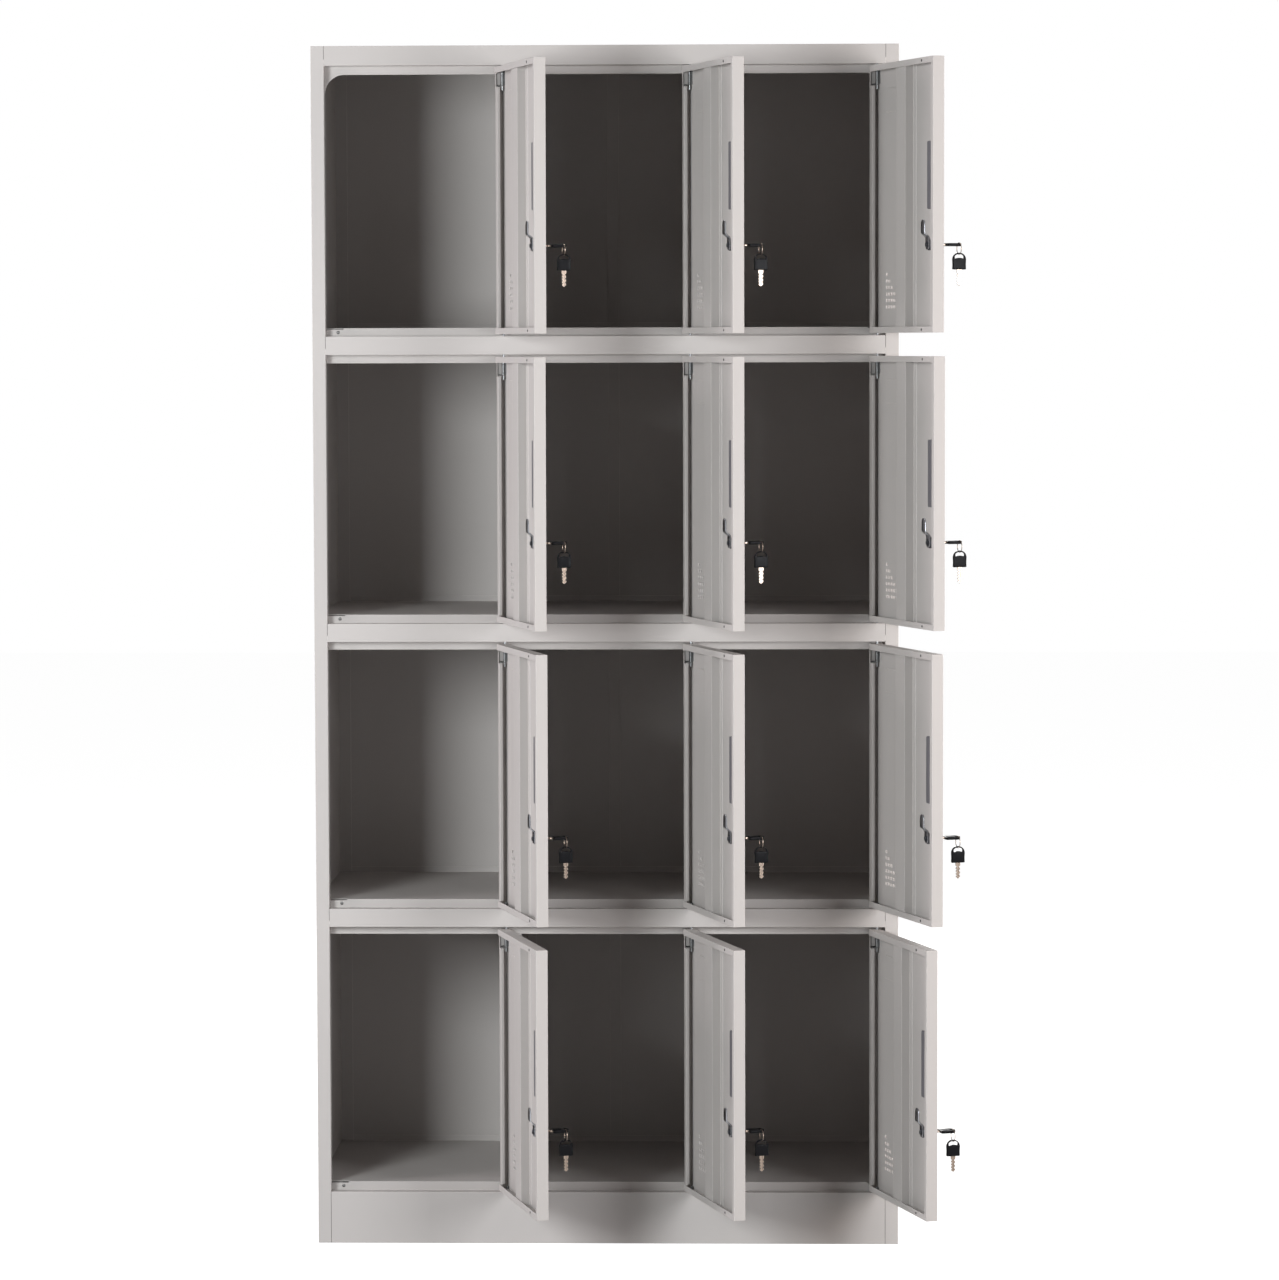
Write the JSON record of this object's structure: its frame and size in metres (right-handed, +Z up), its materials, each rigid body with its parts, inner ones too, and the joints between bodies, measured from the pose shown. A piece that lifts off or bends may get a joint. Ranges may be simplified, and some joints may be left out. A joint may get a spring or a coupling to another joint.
{
  "type": "metal locker",
  "caption": "Free-standing steel compartment locker with hinged, vented doors, finger cups and cam locks, shown with its doors open and keys in the locks.",
  "frame": {"origin": "on the floor, in the middle of the kick plate's front edge", "axes": "+X to the right seen from the front, +Y from the front to the back, +Z up"},
  "size_m": [0.9955, 0.659, 1.85],
  "materials": {
    "cabinet_paint": "powder coat, satin, warm light grey",
    "zinc_steel": "zinc-plated pins, springs, leaves and rivets",
    "cup_plastic": "moulded, fine matt grain, blue grey",
    "lock_metal": "nickel-plated lock body, cam and key blade",
    "key_plastic": "moulded black key head, half gloss"
  },
  "bodies": {
    "cabinet": {"left_side_panel": "cabinet_paint", "right_side_panel": "cabinet_paint", "top_panel": "cabinet_paint", "shelf_1": "cabinet_paint", "shelf_2": "cabinet_paint", "shelf_3": "cabinet_paint", "base_panel": "cabinet_paint", "back_panel_left": "cabinet_paint", "back_panel_right": "cabinet_paint", "back_joint_strip": "cabinet_paint", "dividers": "cabinet_paint", "frame_rivets": "zinc_steel"},
    "door_01": {"door_01": "cabinet_paint", "finger_cup_01": "cup_plastic"},
    "lock_01": {"lock_and_key_01": "lock_metal"},
    "spare_01": {"spare_key_01": "key_plastic"},
    "door_02": {"door_02": "cabinet_paint", "finger_cup_02": "cup_plastic"},
    "lock_02": {"lock_and_key_02": "lock_metal"},
    "spare_02": {"spare_key_02": "key_plastic"},
    "door_03": {"door_03": "cabinet_paint", "finger_cup_03": "cup_plastic"},
    "lock_03": {"lock_and_key_03": "lock_metal"},
    "spare_03": {"spare_key_03": "key_plastic"},
    "door_04": {"door_04": "cabinet_paint", "finger_cup_04": "cup_plastic"},
    "lock_04": {"lock_and_key_04": "lock_metal"},
    "spare_04": {"spare_key_04": "key_plastic"},
    "door_05": {"door_05": "cabinet_paint", "finger_cup_05": "cup_plastic"},
    "lock_05": {"lock_and_key_05": "lock_metal"},
    "spare_05": {"spare_key_05": "key_plastic"},
    "door_06": {"door_06": "cabinet_paint", "finger_cup_06": "cup_plastic"},
    "lock_06": {"lock_and_key_06": "lock_metal"},
    "spare_06": {"spare_key_06": "key_plastic"},
    "door_07": {"door_07": "cabinet_paint", "finger_cup_07": "cup_plastic"},
    "lock_07": {"lock_and_key_07": "lock_metal"},
    "spare_07": {"spare_key_07": "key_plastic"},
    "door_08": {"door_08": "cabinet_paint", "finger_cup_08": "cup_plastic"},
    "lock_08": {"lock_and_key_08": "lock_metal"},
    "spare_08": {"spare_key_08": "key_plastic"},
    "door_09": {"door_09": "cabinet_paint", "finger_cup_09": "cup_plastic"},
    "lock_09": {"lock_and_key_09": "lock_metal"},
    "spare_09": {"spare_key_09": "key_plastic"},
    "door_10": {"door_10": "cabinet_paint", "finger_cup_10": "cup_plastic"},
    "lock_10": {"lock_and_key_10": "lock_metal"},
    "spare_10": {"spare_key_10": "key_plastic"},
    "door_11": {"door_11": "cabinet_paint", "finger_cup_11": "cup_plastic"},
    "lock_11": {"lock_and_key_11": "lock_metal"},
    "spare_11": {"spare_key_11": "key_plastic"},
    "door_12": {"door_12": "cabinet_paint", "finger_cup_12": "cup_plastic"},
    "lock_12": {"lock_and_key_12": "lock_metal"},
    "spare_12": {"spare_key_12": "key_plastic"}
  },
  "joints": [
    {"name": "door_01_hinge", "type": "hinge", "parent": "cabinet", "child": "door_01", "pos_m": [-0.15583, 0.004, 1.613], "axis": [0, 0, 1], "range_deg": [-105.9, 9.1]},
    {"name": "lock_01_turn", "type": "hinge", "parent": "door_01", "child": "lock_01", "pos_m": [-0.08605, -0.22636, 1.5395], "axis": [0.9617, 0.274, 0], "range_deg": [0, 90]},
    {"name": "spare_01_swing", "type": "hinge", "parent": "lock_01", "child": "spare_01", "pos_m": [-0.05317, -0.22609, 1.5395], "axis": [0.9617, 0.274, 0], "range_deg": [-90, 0]},
    {"name": "door_02_hinge", "type": "hinge", "parent": "cabinet", "child": "door_02", "pos_m": [0.13083, 0.004, 1.613], "axis": [0, 0, 1], "range_deg": [-107.3, 7.7]},
    {"name": "lock_02_turn", "type": "hinge", "parent": "door_02", "child": "lock_02", "pos_m": [0.20622, -0.22459, 1.5395], "axis": [0.9548, 0.2974, 0], "range_deg": [0, 90]},
    {"name": "spare_02_swing", "type": "hinge", "parent": "lock_02", "child": "spare_02", "pos_m": [0.23909, -0.22352, 1.5395], "axis": [0.9548, 0.2974, 0], "range_deg": [-90, 0]},
    {"name": "door_03_hinge", "type": "hinge", "parent": "cabinet", "child": "door_03", "pos_m": [0.4175, 0.004, 1.613], "axis": [0, 0, 1], "range_deg": [-109.2, 5.8]},
    {"name": "lock_03_turn", "type": "hinge", "parent": "door_03", "child": "lock_03", "pos_m": [0.50043, -0.22196, 1.5395], "axis": [0.9444, 0.3289, 0], "range_deg": [0, 90]},
    {"name": "spare_03_swing", "type": "hinge", "parent": "lock_03", "child": "spare_03", "pos_m": [0.53324, -0.2198, 1.5395], "axis": [0.9444, 0.3289, 0], "range_deg": [-90, 0]},
    {"name": "door_04_hinge", "type": "hinge", "parent": "cabinet", "child": "door_04", "pos_m": [-0.15583, 0.004, 1.171], "axis": [0, 0, 1], "range_deg": [-105.6, 9.4]},
    {"name": "lock_04_turn", "type": "hinge", "parent": "door_04", "child": "lock_04", "pos_m": [-0.08726, -0.22673, 1.0975], "axis": [0.9632, 0.2689, 0], "range_deg": [0, 90]},
    {"name": "spare_04_swing", "type": "hinge", "parent": "lock_04", "child": "spare_04", "pos_m": [-0.05437, -0.22663, 1.0975], "axis": [0.9632, 0.2689, 0], "range_deg": [-90, 0]},
    {"name": "door_05_hinge", "type": "hinge", "parent": "cabinet", "child": "door_05", "pos_m": [0.13083, 0.004, 1.171], "axis": [0, 0, 1], "range_deg": [-107.3, 7.7]},
    {"name": "lock_05_turn", "type": "hinge", "parent": "door_05", "child": "lock_05", "pos_m": [0.20622, -0.22459, 1.0975], "axis": [0.9548, 0.2974, 0], "range_deg": [0, 90]},
    {"name": "spare_05_swing", "type": "hinge", "parent": "lock_05", "child": "spare_05", "pos_m": [0.23909, -0.22352, 1.0975], "axis": [0.9548, 0.2974, 0], "range_deg": [-90, 0]},
    {"name": "door_06_hinge", "type": "hinge", "parent": "cabinet", "child": "door_06", "pos_m": [0.4175, 0.004, 1.171], "axis": [0, 0, 1], "range_deg": [-109.6, 5.4]},
    {"name": "lock_06_turn", "type": "hinge", "parent": "door_06", "child": "lock_06", "pos_m": [0.502, -0.22138, 1.0975], "axis": [0.9421, 0.3355, 0], "range_deg": [0, 90]},
    {"name": "spare_06_swing", "type": "hinge", "parent": "lock_06", "child": "spare_06", "pos_m": [0.5348, -0.21899, 1.0975], "axis": [0.9421, 0.3355, 0], "range_deg": [-90, 0]},
    {"name": "door_07_hinge", "type": "hinge", "parent": "cabinet", "child": "door_07", "pos_m": [-0.15583, 0.004, 0.729], "axis": [0, 0, 1], "range_deg": [-105.8, 9.2]},
    {"name": "lock_07_turn", "type": "hinge", "parent": "door_07", "child": "lock_07", "pos_m": [-0.08646, -0.22648, 0.6555], "axis": [0.9622, 0.2723, 0], "range_deg": [0, 90]},
    {"name": "spare_07_swing", "type": "hinge", "parent": "lock_07", "child": "spare_07", "pos_m": [-0.05357, -0.22627, 0.6555], "axis": [0.9622, 0.2723, 0], "range_deg": [-90, 0]},
    {"name": "door_08_hinge", "type": "hinge", "parent": "cabinet", "child": "door_08", "pos_m": [0.13083, 0.004, 0.729], "axis": [0, 0, 1], "range_deg": [-107.3, 7.7]},
    {"name": "lock_08_turn", "type": "hinge", "parent": "door_08", "child": "lock_08", "pos_m": [0.20622, -0.22459, 0.6555], "axis": [0.9548, 0.2974, 0], "range_deg": [0, 90]},
    {"name": "spare_08_swing", "type": "hinge", "parent": "lock_08", "child": "spare_08", "pos_m": [0.23909, -0.22352, 0.6555], "axis": [0.9548, 0.2974, 0], "range_deg": [-90, 0]},
    {"name": "door_09_hinge", "type": "hinge", "parent": "cabinet", "child": "door_09", "pos_m": [0.4175, 0.004, 0.729], "axis": [0, 0, 1], "range_deg": [-109.1, 5.9]},
    {"name": "lock_09_turn", "type": "hinge", "parent": "door_09", "child": "lock_09", "pos_m": [0.50003, -0.22211, 0.6555], "axis": [0.9449, 0.3272, 0], "range_deg": [0, 90]},
    {"name": "spare_09_swing", "type": "hinge", "parent": "lock_09", "child": "spare_09", "pos_m": [0.53285, -0.22, 0.6555], "axis": [0.9449, 0.3272, 0], "range_deg": [-90, 0]},
    {"name": "door_10_hinge", "type": "hinge", "parent": "cabinet", "child": "door_10", "pos_m": [-0.15583, 0.004, 0.287], "axis": [0, 0, 1], "range_deg": [-105.5, 9.5]},
    {"name": "lock_10_turn", "type": "hinge", "parent": "door_10", "child": "lock_10", "pos_m": [-0.08766, -0.22684, 0.2135], "axis": [0.9636, 0.2672, 0], "range_deg": [0, 90]},
    {"name": "spare_10_swing", "type": "hinge", "parent": "lock_10", "child": "spare_10", "pos_m": [-0.05478, -0.22681, 0.2135], "axis": [0.9636, 0.2672, 0], "range_deg": [-90, 0]},
    {"name": "door_11_hinge", "type": "hinge", "parent": "cabinet", "child": "door_11", "pos_m": [0.13083, 0.004, 0.287], "axis": [0, 0, 1], "range_deg": [-107.3, 7.7]},
    {"name": "lock_11_turn", "type": "hinge", "parent": "door_11", "child": "lock_11", "pos_m": [0.20622, -0.22459, 0.2135], "axis": [0.9548, 0.2974, 0], "range_deg": [0, 90]},
    {"name": "spare_11_swing", "type": "hinge", "parent": "lock_11", "child": "spare_11", "pos_m": [0.23909, -0.22352, 0.2135], "axis": [0.9548, 0.2974, 0], "range_deg": [-90, 0]},
    {"name": "door_12_hinge", "type": "hinge", "parent": "cabinet", "child": "door_12", "pos_m": [0.4175, 0.004, 0.287], "axis": [0, 0, 1], "range_deg": [-107.4, 7.6]},
    {"name": "lock_12_turn", "type": "hinge", "parent": "door_12", "child": "lock_12", "pos_m": [0.49329, -0.22446, 0.2135], "axis": [0.9542, 0.299, 0], "range_deg": [0, 90]},
    {"name": "spare_12_swing", "type": "hinge", "parent": "lock_12", "child": "spare_12", "pos_m": [0.52615, -0.22333, 0.2135], "axis": [0.9542, 0.299, 0], "range_deg": [-90, 0]}
  ],
  "couplings": [
    {"joint": "spare_01_swing", "follows": "lock_01_turn", "ratio": -1},
    {"joint": "spare_02_swing", "follows": "lock_02_turn", "ratio": -1},
    {"joint": "spare_03_swing", "follows": "lock_03_turn", "ratio": -1},
    {"joint": "spare_04_swing", "follows": "lock_04_turn", "ratio": -1},
    {"joint": "spare_05_swing", "follows": "lock_05_turn", "ratio": -1},
    {"joint": "spare_06_swing", "follows": "lock_06_turn", "ratio": -1},
    {"joint": "spare_07_swing", "follows": "lock_07_turn", "ratio": -1},
    {"joint": "spare_08_swing", "follows": "lock_08_turn", "ratio": -1},
    {"joint": "spare_09_swing", "follows": "lock_09_turn", "ratio": -1},
    {"joint": "spare_10_swing", "follows": "lock_10_turn", "ratio": -1},
    {"joint": "spare_11_swing", "follows": "lock_11_turn", "ratio": -1},
    {"joint": "spare_12_swing", "follows": "lock_12_turn", "ratio": -1}
  ]
}
